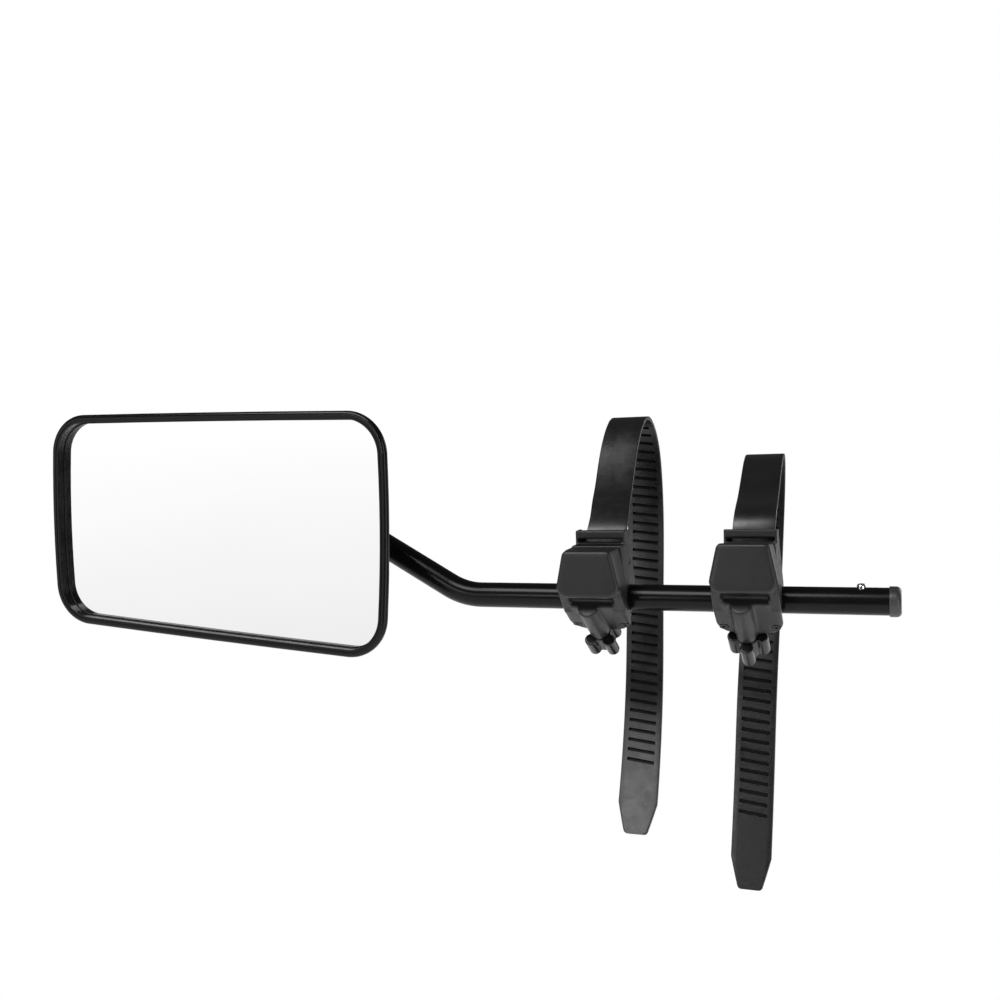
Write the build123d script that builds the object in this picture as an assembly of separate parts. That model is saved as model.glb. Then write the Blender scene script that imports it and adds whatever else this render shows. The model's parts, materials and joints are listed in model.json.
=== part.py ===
from build123d import *
import math
import os

# Strap-on towing mirror. Millimetres. X runs along the arm towards its free end, Y runs away
# from the driver towards the vehicle's own mirror, Z is up. Everything is laid out from the
# arm's axis and then moved, so that the origin is the middle of the inner clamp's rear pad.

# ---- driving dimensions: arm ----
TUBE_R = 8.0
TUBE_WALL = 1.5
TUBE_END_X = 108.0
BEND_CORNER_X = -153.7
BEND_ANGLE = 30.0
BEND_R = 45.0
ELBOW_X = -235.0
ELBOW_R = 10.4
ELBOW_GRIP = 24.0
BUTTON_X = 93.0
BUTTON_R = 2.6
BUTTON_PROUD = 2.2
CAP_R = 8.8
CAP_LENGTH = 6.6
RUN = 0.05

# ---- driving dimensions: head ----
HEAD_W = 253.0
HEAD_H = 149.8
HEAD_TAPER = 0.043
HEAD_CORNER_R = 27.4
HEAD_BOW_X = 2.8
HEAD_BOW_Z = 0.6
HEAD_ROLL = 3.1
HEAD_CENTRE = (-310.2, -54.0, 50.8)
RIM_W = 5.2
RIM_ROUND = 2.3
RIM_WALL_DEPTH = 3.0
RIM_DEPTH = 6.4
RIM_BACK_INSET = 2.5
RIM_GROOVE = (3.4, 4.1, 0.5)
GLASS_INSET = 5.9
GLASS_T = 2.0
PAD_T = 1.0
HOLLOW_INSET = 15.0
BACK_DEPTH = 21.0
BACK_EDGE_INSET = 17.0
BACK_EDGE_DEPTH = 25.0
BACK_SPHERE_R = 900.0
SHELL_T = 2.2
RIB = (30.0, 4.0, 2.0)
RIB_MIDDLE_R = 28.0
BALL_R = 8.0
LINER_R = 9.0
SEAT_R = 12.0
BOSS_R = 15.5
COLLAR_R = 18.5
STEM_R = 4.0

# ---- driving dimensions: clamps ----
CLAMP_W = 39.0
BODY_W = 35.0
BODY_TOP_W = 31.4
LOOP_WALL = 1.6
HUB_R = 11.0
LINER_WALL = 1.4
CHANNEL_GAP = 3.4
STRAP_W = 25.2
STRAP_T = 2.6
WORM_ANGLE = 36.0
WORM_R = 4.0
WORM_LENGTH = 15.0
RIDGE_R = 6.4
WORM_X = -2.5
TONGUE_START = -21.5
TONGUE_END = 11.0
TONGUE_END_R = 12.0
FACE_Y = -37.0
FACE_PLATE_T = 6.0
FACE_LOW_Z = 5.0
FACE_CORNER_R = 10.0
NOTCH_W = 27.0
TOP_Z = 33.5
BAR_TOP_Z = 41.8
REAR_LEAN = 10.0
REAR_PAD_T = 2.5
KNOB_R = 12.0
KNOB_H = 15.5
LOBE_R = 3.9
SCREW_X = 15.2
SCREW_ALONG = 3.0
KNOB_END = TONGUE_END + 1.4 + KNOB_H
SQUARE_START = TONGUE_END + 3.0
SHAFT_R = 2.0
LID_T = 3.4
SCREW_R = 1.0
SCREW_HEAD_R = 2.6
SCREW_HEAD_H = 1.5
PIN_R = 2.0
EYE_R = 4.0
ANCHOR = (4.6, 22.0)
CHANNEL_BACK_Y = -12.6
STEP_Z = 3.0
STRAP_SLOT_Y = (1.9, 7.3)
REAR_FOOT = (13.4, 12.0)
BODY_WAIST_Z = 8.0
FACE_TOP_W = 29.8
FACE_WAIST_Z = 12.0
PAD_W = 28.0
PAD_LOW_Z = -3.0
PAD_HIGH_Z = 31.0
PAD_SUNK = 0.8
LINER_RIB = 0.8
LINER_RIB_W = 6.0
STRAP_STRAIGHT_Z = 36.0
SLOT_PITCH = 6.5
SLOT_W = 17.4
SLOT_H = 1.7
SLOT_DEPTH = 0.9
CLAMPS = {
    "inner": {
        "x": -60.3,
        "turn": 0.0,
        "knob_turn": 45.0,
        "strap_x": 0.5,
        "drift": (0.078, -0.078),
        "route": ((11, 46), (33, 63), (52, 83), (70, 103), (88, 109), (100, 97), (102, 72),
                  (93, 36), (73, -14), (52, -66), (34, -101), (16, -130), (1, -151.5)),
    },
    "outer": {
        "x": 30.6,
        "turn": -7.0,
        "knob_turn": 0.0,
        "strap_x": 0.5,
        "drift": (-0.035, 0.038),
        "route": ((13, 45), (40, 57), (66, 70), (88, 80), (104, 78), (108, 62), (101, 35),
                  (80, -20), (55, -76), (45, -118), (32, -160), (21, -189)),
    },
}


# ---- helpers ----
def yz_prism(points, width, round_r=0.0):
    """A prism across the arm, centred on X = 0, from an outline of (y, z) points."""
    outline = Polygon(*points, align=None)
    if round_r:
        outline = fillet(outline.vertices(), round_r)
    return extrude(Plane.YZ * outline, width / 2, both=True)


def rod(radius, start, end):
    """A round bar between two points."""
    axis = Vector(*end) - Vector(*start)
    return extrude(Plane(origin=start, z_dir=axis) * Circle(radius), axis.length)


def turned(point, angle):
    """A (y, z) point turned about the arm's axis."""
    y, z = point
    c, s = math.cos(math.radians(angle)), math.sin(math.radians(angle))
    return (y * c - z * s, y * s + z * c)


# ---- clamp: the worm's own frame ----
WORM_DIR = Vector(0, math.cos(math.radians(WORM_ANGLE)), -math.sin(math.radians(WORM_ANGLE)))
WORM_OUT = Vector(0, -math.sin(math.radians(WORM_ANGLE)), -math.cos(math.radians(WORM_ANGLE)))
CHANNEL_OUT = HUB_R + CHANNEL_GAP
LID_OUT = CHANNEL_OUT + LID_T
WORM_AXIS = CHANNEL_OUT + WORM_R - 0.6
CHANNEL_W = STRAP_W + 1.8


def worm_point(along, out, x=0.0):
    """A point given along the worm and outwards from the arm's axis."""
    return Vector(x, 0, 0) + WORM_DIR * along + WORM_OUT * out


def worm_yz(along, out):
    point = worm_point(along, out)
    return (point.Y, point.Z)


def worm_rod(radius, start, end, out=WORM_AXIS, x=WORM_X):
    """A round bar along the worm."""
    return rod(radius, tuple(worm_point(start, out, x)), tuple(worm_point(end, out, x)))


def worm_block(along, out, width):
    """A block square to the worm, between two stations and two heights."""
    corners = [worm_yz(along[0], out[0]), worm_yz(along[0], out[1]), worm_yz(along[1], out[1]),
               worm_yz(along[1], out[0])]
    return yz_prism(corners, width)


def worm_plane(along, out, x=0.0):
    return Plane(origin=tuple(worm_point(along, out, x)), x_dir=(1, 0, 0), z_dir=tuple(WORM_DIR))


def rear_y(z):
    """Where the clamp body's rear wall is at a height."""
    return REAR_FOOT[0] - (z - REAR_FOOT[1]) * math.tan(math.radians(REAR_LEAN))


CHANNEL_FRONT_Y = CHANNEL_BACK_Y - CHANNEL_GAP - 0.2
CHANNEL_BEND = worm_yz((CHANNEL_FRONT_Y - CHANNEL_OUT * WORM_OUT.Y) / WORM_DIR.Y, CHANNEL_OUT)


def tongue_outline():
    """The clamp seen square on to the worm: straight sides that round off at the knob's end."""
    top = 60.0
    outline = Pos(0, (top - TONGUE_END) / 2) * Rectangle(CLAMP_W, top + TONGUE_END)
    low = outline.vertices().sort_by(Axis.Y)[:2]
    return fillet(low, TONGUE_END_R)


def tongue_prism(low, high):
    """The tongue's outline between two heights over the arm's axis."""
    plane = Plane(origin=tuple(worm_point(0, low)), x_dir=(1, 0, 0), z_dir=tuple(WORM_OUT))
    return extrude(plane * tongue_outline(), high - low)


def body_outline():
    """The clamp body from the front: wider round the arm than at the strap guide."""
    low, top = BODY_W / 2, BODY_TOP_W / 2
    return Polygon((-low, -40), (low, -40), (low, BODY_WAIST_Z), (top, TOP_Z), (top, BAR_TOP_Z + 5),
                   (-top, BAR_TOP_Z + 5), (-top, TOP_Z), (-low, BODY_WAIST_Z), align=None)


def rear_plate(thickness, margin):
    """A rounded plate let into the rear wall, behind the arm."""
    lean = math.radians(REAR_LEAN)
    mid_z = (PAD_LOW_Z + PAD_HIGH_Z) / 2
    face = Plane(origin=(0, rear_y(mid_z), mid_z), x_dir=(-1, 0, 0),
                 z_dir=(0, math.cos(lean), math.sin(lean)))
    outline = RectangleRounded(PAD_W - 2 * margin, PAD_HIGH_Z - PAD_LOW_Z - 2 * margin, 4.0)
    plate = extrude(face * outline, thickness)
    return plate.moved(Location(tuple(face.z_dir * -PAD_SUNK)))


def clamp_body():
    """Hub round the arm, rear wall, strap guide loop and the seat of the strap channel."""
    outline = [
        (CHANNEL_BACK_Y, TOP_Z),
        (CHANNEL_BACK_Y, STEP_Z),
        (CHANNEL_FRONT_Y, STEP_Z - 2.0),
        CHANNEL_BEND,
        worm_yz(TONGUE_END, CHANNEL_OUT),
        worm_yz(TONGUE_END, 3.0),
        (rear_y(-4), -4.0),
        (rear_y(TOP_Z), TOP_Z),
    ]
    loop = yz_prism([(-3, TOP_Z - 1), (-3, BAR_TOP_Z), (rear_y(BAR_TOP_Z), BAR_TOP_Z),
                     (rear_y(TOP_Z - 1), TOP_Z - 1)], BODY_TOP_W, 0.9)
    hull = yz_prism(outline, CLAMP_W) & tongue_prism(-60, 60)
    hull = hull & extrude(Plane.XZ * body_outline(), 60, both=True)
    slot_w = BODY_TOP_W - 2 * LOOP_WALL
    slot_y, slot_depth = (STRAP_SLOT_Y[0] + STRAP_SLOT_Y[1]) / 2, STRAP_SLOT_Y[1] - STRAP_SLOT_Y[0]
    slot = Pos(0, slot_y, 31.0) * Box(slot_w, slot_depth, 28.0)
    eye_room = Pos(0, ANCHOR[0], ANCHOR[1] - 0.2) * Rot(Y=90) * Cylinder(EYE_R + 0.4, slot_w)
    window = Pos(0, 0, TOP_Z + 2.1) * Box(slot_w, 8.0, 2.4)
    channel = worm_block((-20, 30), (HUB_R, CHANNEL_OUT + 5), CHANNEL_W)
    liner_r = TUBE_R + LINER_WALL
    bore = Rot(Y=90) * Cylinder(liner_r + RUN, CLAMP_W + 2)
    groove = Rot(Y=90) * Cylinder(liner_r + LINER_RIB + RUN, LINER_RIB_W + 2 * RUN)
    pin_hole = Pos(0, *ANCHOR) * Rot(Y=90) * Cylinder(PIN_R, CLAMP_W + 2)
    strap_relief = yz_prism([(6.9, 37.0), (6.9, 50), (25, 50), (25, 41.0)], CLAMP_W)
    pilots = [rod(SCREW_R, tuple(worm_point(SCREW_ALONG, CHANNEL_OUT - 5.5, x)),
                  tuple(worm_point(SCREW_ALONG, CHANNEL_OUT + 0.1, x))) for x in (-SCREW_X, SCREW_X)]
    cuts = [slot, eye_room, window, channel, bore, groove, pin_hole, rear_plate(PAD_SUNK, -0.1), strap_relief]
    return hull + loop - cuts - pilots


def face_outline():
    """The face from the front: narrower at the top, with large lower corners."""
    half_top, half_low = FACE_TOP_W / 2, CLAMP_W / 2
    outline = Polygon((-half_top, TOP_Z), (-half_low, FACE_WAIST_Z), (-half_low, FACE_LOW_Z),
                      (half_low, FACE_LOW_Z), (half_low, FACE_WAIST_Z), (half_top, TOP_Z), align=None)
    corners = outline.vertices().sort_by(Axis.Y)
    outline = fillet(corners[:2], FACE_CORNER_R * 0.7)
    top = outline.vertices().sort_by(Axis.Y)[-2:]
    return fillet(top, 3.2)


def front_cover():
    """Face plate, shoulders, the lid of the strap channel and the housing of the worm."""
    plate = extrude(Plane.XZ.offset(-FACE_Y - FACE_PLATE_T) * face_outline(), FACE_PLATE_T)
    plate = fillet(plate.faces().sort_by(Axis.Y)[0].edges(), 1.8)
    lid_low = worm_yz(TONGUE_START + 9.0, LID_OUT)
    back_y = FACE_Y + FACE_PLATE_T
    shoulders = yz_prism([(CHANNEL_FRONT_Y, TOP_Z), (back_y, TOP_Z), (back_y, FACE_LOW_Z), lid_low,
                          CHANNEL_BEND], CLAMP_W)
    above_waist = Polygon((-FACE_TOP_W / 2, TOP_Z), (-CLAMP_W / 2, FACE_WAIST_Z), (-CLAMP_W / 2, -40),
                          (CLAMP_W / 2, -40), (CLAMP_W / 2, FACE_WAIST_Z), (FACE_TOP_W / 2, TOP_Z), align=None)
    shoulders = shoulders & extrude(Plane.XZ * above_waist, 60, both=True)
    lid = tongue_prism(CHANNEL_OUT, LID_OUT) & worm_block((TONGUE_START + 6.0, 40), (0, 30), CLAMP_W)
    far_rim = lid.faces().sort_by(Axis((0, 0, 0), tuple(WORM_OUT)))[-1].edges()
    lid = fillet(far_rim.sort_by(Axis((0, 0, 0), tuple(WORM_DIR)))[1:], 1.5)
    notch = worm_block((TONGUE_START - 20, TONGUE_START), (LID_OUT - 5.0, 50), NOTCH_W)
    notch = notch & extrude(Plane.XY.offset(FACE_LOW_Z) * Rectangle(100, 100), -60)
    cover = plate + shoulders + lid
    bridge = worm_block((TONGUE_START, 0), (CHANNEL_OUT, LID_OUT), NOTCH_W)
    housing = worm_rod(RIDGE_R, TONGUE_START, TONGUE_END + 0.6)
    housing = housing & worm_block((TONGUE_START, 40), (CHANNEL_OUT, 40), CLAMP_W)
    behind_face = yz_prism([(back_y, TOP_Z), (back_y, -60), (60, -60), (60, TOP_Z)], CLAMP_W)
    cover = cover - notch + (bridge & behind_face) + housing
    worm_room = worm_rod(WORM_R + 0.3, -WORM_LENGTH / 2 - 0.4, WORM_LENGTH / 2 + 0.4)
    shaft_room = worm_rod(SHAFT_R + RUN, -WORM_LENGTH / 2 - 3.0, TONGUE_END + 4.0)
    holes = []
    for x in (-SCREW_X, SCREW_X):
        foot, seat, top = [tuple(worm_point(SCREW_ALONG, out, x))
                           for out in (CHANNEL_OUT - 1, LID_OUT - SCREW_HEAD_H, LID_OUT + 2)]
        holes += [rod(SCREW_R + 0.3, foot, top), rod(SCREW_HEAD_R + 0.1, seat, top)]
    return cover - [worm_room, shaft_room] - holes


def square_drive():
    """The square end of the worm's shaft."""
    return extrude(worm_plane(SQUARE_START, WORM_AXIS, WORM_X) * Rectangle(3.0, 3.0), KNOB_END - SQUARE_START - 1.4)


def worm_screw():
    """Worm, its shaft and the square end that drives it from the knob."""
    shaft = worm_rod(SHAFT_R, -WORM_LENGTH / 2 - 2.6, SQUARE_START)
    core = worm_rod(WORM_R - 1.0, -WORM_LENGTH / 2, WORM_LENGTH / 2)
    turns = []
    for i in range(5):
        middle = (i - 2) * 3.0
        turns.append(worm_rod(WORM_R, middle - 0.6, middle + 0.6))
    return shaft + core + turns + square_drive()


def knob(turn):
    """Four-lobed knob with a recessed end."""
    outline = Circle(6.6)
    lobe_at = KNOB_R - LOBE_R
    for i in range(4):
        arm = Rot(Z=turn + 90 * i)
        outline += arm * Pos(lobe_at, 0) * Circle(LOBE_R)
        outline += arm * Pos(lobe_at / 2, 0) * Rectangle(lobe_at, 2 * LOBE_R - 1.6)
    body = extrude(worm_plane(KNOB_END - KNOB_H, WORM_AXIS, WORM_X) * outline, KNOB_H)
    along = Axis((0, 0, 0), tuple(WORM_DIR))
    body = fillet(body.faces().sort_by(along)[-1].edges(), 1.1)
    body = fillet(body.faces().sort_by(along)[0].edges(), 0.8)
    shaft_hole = worm_rod(SHAFT_R, TONGUE_END, SQUARE_START)
    recess = worm_rod(SCREW_HEAD_R + 0.5, KNOB_END - 1.4, KNOB_END + 3)
    return body - [shaft_hole, square_drive(), recess]


def knob_screw():
    """Pan-head screw in the knob's recess."""
    return worm_rod(SCREW_HEAD_R, KNOB_END - 1.4, KNOB_END - 0.1)


def tube_liner():
    """Split plastic sleeve between the arm and the clamp, with a rib that keeps it in place."""
    length = BODY_W - 0.6
    liner_r = TUBE_R + LINER_WALL
    sleeve = Cylinder(liner_r, length) + Cylinder(liner_r + LINER_RIB, LINER_RIB_W)
    sleeve -= Cylinder(TUBE_R + RUN, length + 2)
    split = Pos(TUBE_R + 1, 0, 0) * Box(6, 1.6, length + 2)
    return Rot(Y=90) * (sleeve - split)


def anchor_pin():
    """Pin across the body that the strap's eye hangs on."""
    return Pos(0, *ANCHOR) * Rot(Y=90) * Cylinder(PIN_R - 0.01, BODY_TOP_W + 0.2)


def cover_screws():
    """Two pan-head screws that hold the front cover to the body."""
    screws = []
    for x in (-SCREW_X, SCREW_X):
        foot, seat, rim_of_head, slot, top = [
            tuple(worm_point(SCREW_ALONG, out, x))
            for out in (CHANNEL_OUT - 5.0, LID_OUT - SCREW_HEAD_H, LID_OUT - 0.1, LID_OUT - 0.9, LID_OUT)]
        shank = rod(SCREW_R - 0.01, foot, seat)
        head = rod(SCREW_HEAD_R, seat, rim_of_head)
        screws.append(shank + head - rod(1.0, slot, top))
    return screws[0] + screws[1]


# ---- strap ----
def strap_route(clamp):
    """The strap's middle line, from its eye on the anchor pin to its free tip."""
    start = [turned(ANCHOR, clamp["turn"]), turned((ANCHOR[0], 31.0), clamp["turn"]),
             turned((ANCHOR[0] + 0.6, 38.0), clamp["turn"])]
    points = [Vector(0, y, z) for y, z in start] + [Vector(0, y, z) for y, z in clamp["route"]]
    first = points[1] - points[0]
    return Spline(*points, tangents=(tuple(first.normalized()), tuple((points[-1] - points[-2]).normalized())))


def strap(clamp):
    """Ladder strap: a flat band with an eye, blind grooves on its inner face and a blunt tip."""
    route = strap_route(clamp)
    steps = 44
    outer, inner = [], []
    for i in range(steps + 1):
        at, along = route.position_at(i / steps), route.tangent_at(i / steps)
        side = Vector(0, -along.Z, along.Y) * (STRAP_T / 2)
        outer.append(at + side)
        inner.append(at - side)
    edges = [Spline(*outer), Line(outer[-1], inner[-1]), Spline(*inner), Line(inner[0], outer[0])]
    band = extrude(make_face(edges), 70, dir=(1, 0, 0), both=True)
    drift_y, drift_z = clamp["drift"]
    start = route.position_at(0)
    normal = Vector(1, -drift_y, -drift_z)
    slab_plane = Plane(origin=(0, start.Y, STRAP_STRAIGHT_Z), x_dir=(0, 1, 0), z_dir=tuple(normal))
    slab = extrude(slab_plane * Rectangle(700, 700), STRAP_W / 2 / normal.length, both=True)
    body = band & slab
    eye = Pos(0, start.Y, start.Z) * Rot(Y=90) * Cylinder(EYE_R, STRAP_W)
    body += eye
    body -= Pos(0, start.Y, start.Z) * Rot(Y=90) * Cylinder(PIN_R + 0.1, STRAP_W + 10)
    cuts = strap_grooves(route, clamp)
    return body - cuts - strap_tip(route, clamp)


def drift_x(clamp, start, at):
    drift_y, drift_z = clamp["drift"]
    return drift_y * (at.Y - start.Y) + drift_z * (at.Z - STRAP_STRAIGHT_Z)


def strap_grooves(route, clamp):
    """Grooves across the inner face, from the loop's top to a hand's width from the tip."""
    length = route.length
    start = route.position_at(0)
    last = length - 42.0
    grooves = []
    for i in range(46):
        fraction = (last - i * SLOT_PITCH) / length
        at, along = route.position_at(fraction), route.tangent_at(fraction)
        inward = Vector(0, along.Z, -along.Y)
        middle = at + inward * (STRAP_T / 2) + Vector(drift_x(clamp, start, at), 0, 0)
        frame = Plane(origin=tuple(middle), x_dir=(1, 0, 0), z_dir=tuple(inward))
        grooves.append(frame.location * Box(SLOT_W, SLOT_H, 2 * SLOT_DEPTH))
    return grooves


def strap_tip(route, clamp):
    """What is cut away on both sides to leave the blunt tip."""
    start = route.position_at(0)
    end, along = route.position_at(1), route.tangent_at(1)
    frame = Plane(origin=(drift_x(clamp, start, end), end.Y, end.Z), x_dir=(1, 0, 0),
                  z_dir=tuple(Vector(0, along.Z, -along.Y)))
    sign = 1 if frame.y_dir.dot(along) > 0 else -1
    cuts = []
    for side in (-1, 1):
        outline = Polygon((side * 7.0, sign * 1.0), (side * 13.2, -sign * 18.0), (side * 30.0, -sign * 18.0),
                          (side * 30.0, sign * 1.0), align=None)
        cuts.append(extrude(frame * outline, 12, both=True))
    return cuts


# ---- arm ----
def arm_points():
    rise = math.radians(BEND_ANGLE)
    corner = Vector(BEND_CORNER_X, 0, 0)
    elbow = corner + Vector(-math.cos(rise), 0, math.sin(rise)) * ((BEND_CORNER_X - ELBOW_X) / math.cos(rise))
    return Vector(TUBE_END_X, 0, 0), corner, elbow


ARM_START, ARM_CORNER, ELBOW = arm_points()
ARM_DIR = (ELBOW - ARM_CORNER).normalized()


def arm_tube():
    """Bent steel tube with the hole for the snap button and the hole for the elbow's screw."""
    end = ELBOW - ARM_DIR * 4.0
    path = FilletPolyline(tuple(ARM_START), tuple(ARM_CORNER), tuple(end), radius=BEND_R)
    section = Plane(origin=tuple(ARM_START), z_dir=(-1, 0, 0))
    outer = sweep(section * Circle(TUBE_R), path=path)
    inner = sweep(section * Circle(TUBE_R - TUBE_WALL), path=path)
    button_hole = Pos(BUTTON_X, 0, TUBE_R) * Cylinder(BUTTON_R + 0.1, 2 * TUBE_R - 2)
    return outer - inner - button_hole - elbow_bolt_hole(2.1)


def elbow_bolt_hole(radius):
    middle = ELBOW - ARM_DIR * 15.0
    across = Vector(0, 1, 0)
    return rod(radius, tuple(middle - across * 14), tuple(middle + across * 14))


def end_cap():
    """Rounded plastic plug in the arm's free end."""
    head = Pos(TUBE_END_X + CAP_LENGTH / 2, 0, 0) * Rot(Y=90) * Cylinder(CAP_R, CAP_LENGTH)
    head = fillet(head.faces().sort_by(Axis.X)[-1].edges(), 2.8)
    plug = Pos(TUBE_END_X - 4.0, 0, 0) * Rot(Y=90) * Cylinder(TUBE_R - TUBE_WALL - 0.02, 8.0)
    return head + plug - Pos(TUBE_END_X - 4.0, 0, 0) * Rot(Y=90) * Cylinder(4.5, 9.0)


def snap_button():
    """Round-nosed steel button that stands out of the arm."""
    length = BUTTON_PROUD + TUBE_WALL + 1.8
    top = TUBE_R + BUTTON_PROUD
    button = Pos(BUTTON_X, 0, top - length / 2) * Cylinder(BUTTON_R, length)
    button = fillet(button.faces().sort_by(Axis.Z)[-1].edges(), 1.4)
    flange = Pos(BUTTON_X, 0, TUBE_R - TUBE_WALL - 0.9) * Cylinder(3.6, 1.0)
    flange = flange & Rot(Y=90) * Cylinder(TUBE_R - TUBE_WALL - 0.1, 400)
    return button + flange


def button_spring():
    """Bent leaf spring inside the arm, under the button."""
    top = TUBE_R + BUTTON_PROUD - (BUTTON_PROUD + TUBE_WALL + 1.8) - 0.05
    low = -math.sqrt((TUBE_R - TUBE_WALL) ** 2 - 2.0 ** 2) + 0.1
    line = Polyline((BUTTON_X + 4, top - 0.3), (BUTTON_X - 5, top - 0.3), (BUTTON_X - 24, low + 3.0),
                    (BUTTON_X - 22, low + 0.3), (BUTTON_X - 2, low + 0.3))
    return extrude(Plane.XZ * trace(line, 0.5), 2.0, both=True)


def arm_elbow():
    """Moulded fitting that grips the arm's end and carries the ball stud towards the head."""
    far = ELBOW - ARM_DIR * ELBOW_GRIP
    near = ELBOW + ARM_DIR * 7.0
    sleeve = rod(ELBOW_R, tuple(far), tuple(near))
    sleeve = fillet(sleeve.faces().sort_by(Axis((0, 0, 0), tuple(ARM_DIR)))[-1].edges(), 5.0)
    boss = rod(7.5, tuple(ELBOW), tuple(ELBOW + Vector(0, -12.5, 0)))
    body = sleeve + boss
    tube_room = rod(TUBE_R + 0.02, tuple(far - ARM_DIR), tuple(ELBOW - ARM_DIR * 3.5))
    stud_hole = rod(STEM_R + 0.02, tuple(ELBOW + Vector(0, -2, 0)), tuple(ELBOW + Vector(0, -14, 0)))
    return body - [tube_room, stud_hole, elbow_bolt_hole(2.1)]


def elbow_screw():
    """Cross screw with a nut through the elbow and the arm."""
    middle = ELBOW - ARM_DIR * 15.0
    back = Vector(0, 1, 0)
    shank = rod(2.0, tuple(middle - back * 12.5), tuple(middle + back * 12.5))
    head = rod(3.8, tuple(middle + back * 10.45), tuple(middle + back * 13.0))
    nut_plane = Plane(origin=tuple(middle - back * 10.45), z_dir=(0, -1, 0))
    nut = extrude(nut_plane * RegularPolygon(4.0, 6), 3.0)
    return shank + head + nut


PAD_BACK = RIM_DEPTH + GLASS_T + PAD_T
SOCKET_DEPTH = 11.2
BALL_Y = HEAD_CENTRE[1] + 23.5
BALL = Vector(ELBOW.X, BALL_Y, ELBOW.Z)


def ball_stud():
    stem = rod(STEM_R, tuple(ELBOW + Vector(0, -2.2, 0)), tuple(BALL))
    return stem + Pos(*tuple(BALL)) * Sphere(BALL_R)


def cone_behind_ball(half_angle, depth):
    """The cone behind the ball in which the stud may swing."""
    radius = depth * math.tan(math.radians(half_angle))
    return Pos(0, depth / 2, 0) * Rot(X=90) * Cone(0.01, radius, depth, rotation=(180, 0, 0))


def ball_liner():
    shell = Sphere(LINER_R) - Sphere(BALL_R + RUN) - cone_behind_ball(48.0, 14.0)
    return Pos(*tuple(BALL)) * shell


def seat_front():
    cup = Pos(0, -5.65, 0) * Rot(X=90) * Cylinder(SEAT_R, 11.1) - Sphere(LINER_R + RUN)
    return cup


def seat_rear():
    ring = Pos(0, 3.55, 0) * Rot(X=90) * Cylinder(SEAT_R, 6.9) - Sphere(LINER_R + RUN)
    return ring - cone_behind_ball(54.0, 6.0) - Rot(X=90) * Cylinder(8.3, 30)


# ---- head, laid out from the middle of the rim's front plane: x to the arm, y to the back ----
def head_outline(inset=0.0):
    """Rounded outline, taller at the arm's end, with bowed sides."""
    half_w = HEAD_W / 2 - inset
    out_h = HEAD_H / 2 * (1 - HEAD_TAPER) - inset
    arm_h = HEAD_H / 2 * (1 + HEAD_TAPER) - inset
    mid_h = HEAD_H / 2 + HEAD_BOW_Z - inset
    corners = [(-half_w, -out_h), (half_w, -arm_h), (half_w, arm_h), (-half_w, out_h)]
    middles = [(0, -mid_h), (half_w + HEAD_BOW_X, 0), (0, mid_h), (-half_w - HEAD_BOW_X, 0)]
    sides = [ThreePointArc(corners[i], middles[i], corners[(i + 1) % 4]) for i in range(4)]
    outline = make_face(sides)
    return fillet(outline.vertices(), HEAD_CORNER_R - inset)


def head_slab(inset, front, back):
    """The outline, inset, between two depths behind the rim's front plane."""
    return Pos(0, back, 0) * extrude(Plane.XZ * head_outline(inset), back - front)


def head_frustum(inset_front, front, inset_back, back):
    """A slab whose sides lean inwards towards the back."""
    sections = [Pos(0, depth, 0) * (Plane.XZ * head_outline(inset))
                for inset, depth in ((inset_front, front), (inset_back, back))]
    return loft(sections, ruled=True)


def rim():
    """Bezel with a rounded bead, a fine groove and sides that lean in towards the back."""
    bead = head_slab(0, 0, RIM_WALL_DEPTH)
    bead = fillet(bead.faces().sort_by(Axis.Y)[0].edges(), RIM_ROUND)
    ring = bead + head_frustum(0, RIM_WALL_DEPTH, RIM_BACK_INSET, RIM_DEPTH)
    ring -= head_slab(RIM_W, -1, RIM_DEPTH + 1)
    outer, inner, depth = RIM_GROOVE
    return ring - (head_slab(outer, -1, depth) - head_slab(inner, -2, 1))


def mirror_glass():
    return head_slab(GLASS_INSET, RIM_DEPTH + 0.02, RIM_DEPTH + GLASS_T)


def glass_pad():
    return head_slab(GLASS_INSET + 0.5, RIM_DEPTH + GLASS_T, PAD_BACK)


def back_sphere(inset):
    return Pos(0, BACK_DEPTH - BACK_SPHERE_R, 0) * Sphere(BACK_SPHERE_R - inset)


HEAD_TURN = Location(HEAD_CENTRE) * Rot(Y=HEAD_ROLL)
BALL_LOCAL = (HEAD_TURN.inverse() * Pos(*tuple(BALL))).position


def head_shell():
    """Domed dish with a ledge for the glass and a round boss for the ball joint."""
    outer = head_frustum(RIM_BACK_INSET, RIM_DEPTH, BACK_EDGE_INSET, BACK_EDGE_DEPTH) & back_sphere(0)
    recess = head_slab(GLASS_INSET - 0.1, RIM_DEPTH - 1, PAD_BACK)
    hollow = head_slab(HOLLOW_INSET, PAD_BACK, BACK_EDGE_DEPTH)
    x, y, z = tuple(BALL_LOCAL)
    boss_back = y + 7.0
    boss = Pos(x, (PAD_BACK + boss_back) / 2, z) * Rot(X=90) * Cylinder(BOSS_R, boss_back - PAD_BACK)
    bore_floor = y - SOCKET_DEPTH
    bore = Pos(x, bore_floor + 20, z) * Rot(X=90) * Cylinder(SEAT_R + RUN, 40)
    rib_y = PAD_BACK + RIB[1] / 2
    ribs = [Pos(x, 0, z) * Rot(Y=a) * Pos(RIB_MIDDLE_R, rib_y, 0) * Box(*RIB) for a in range(0, 360, 60)]
    return outer - recess - (hollow & back_sphere(SHELL_T)) + boss + ribs - bore


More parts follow.
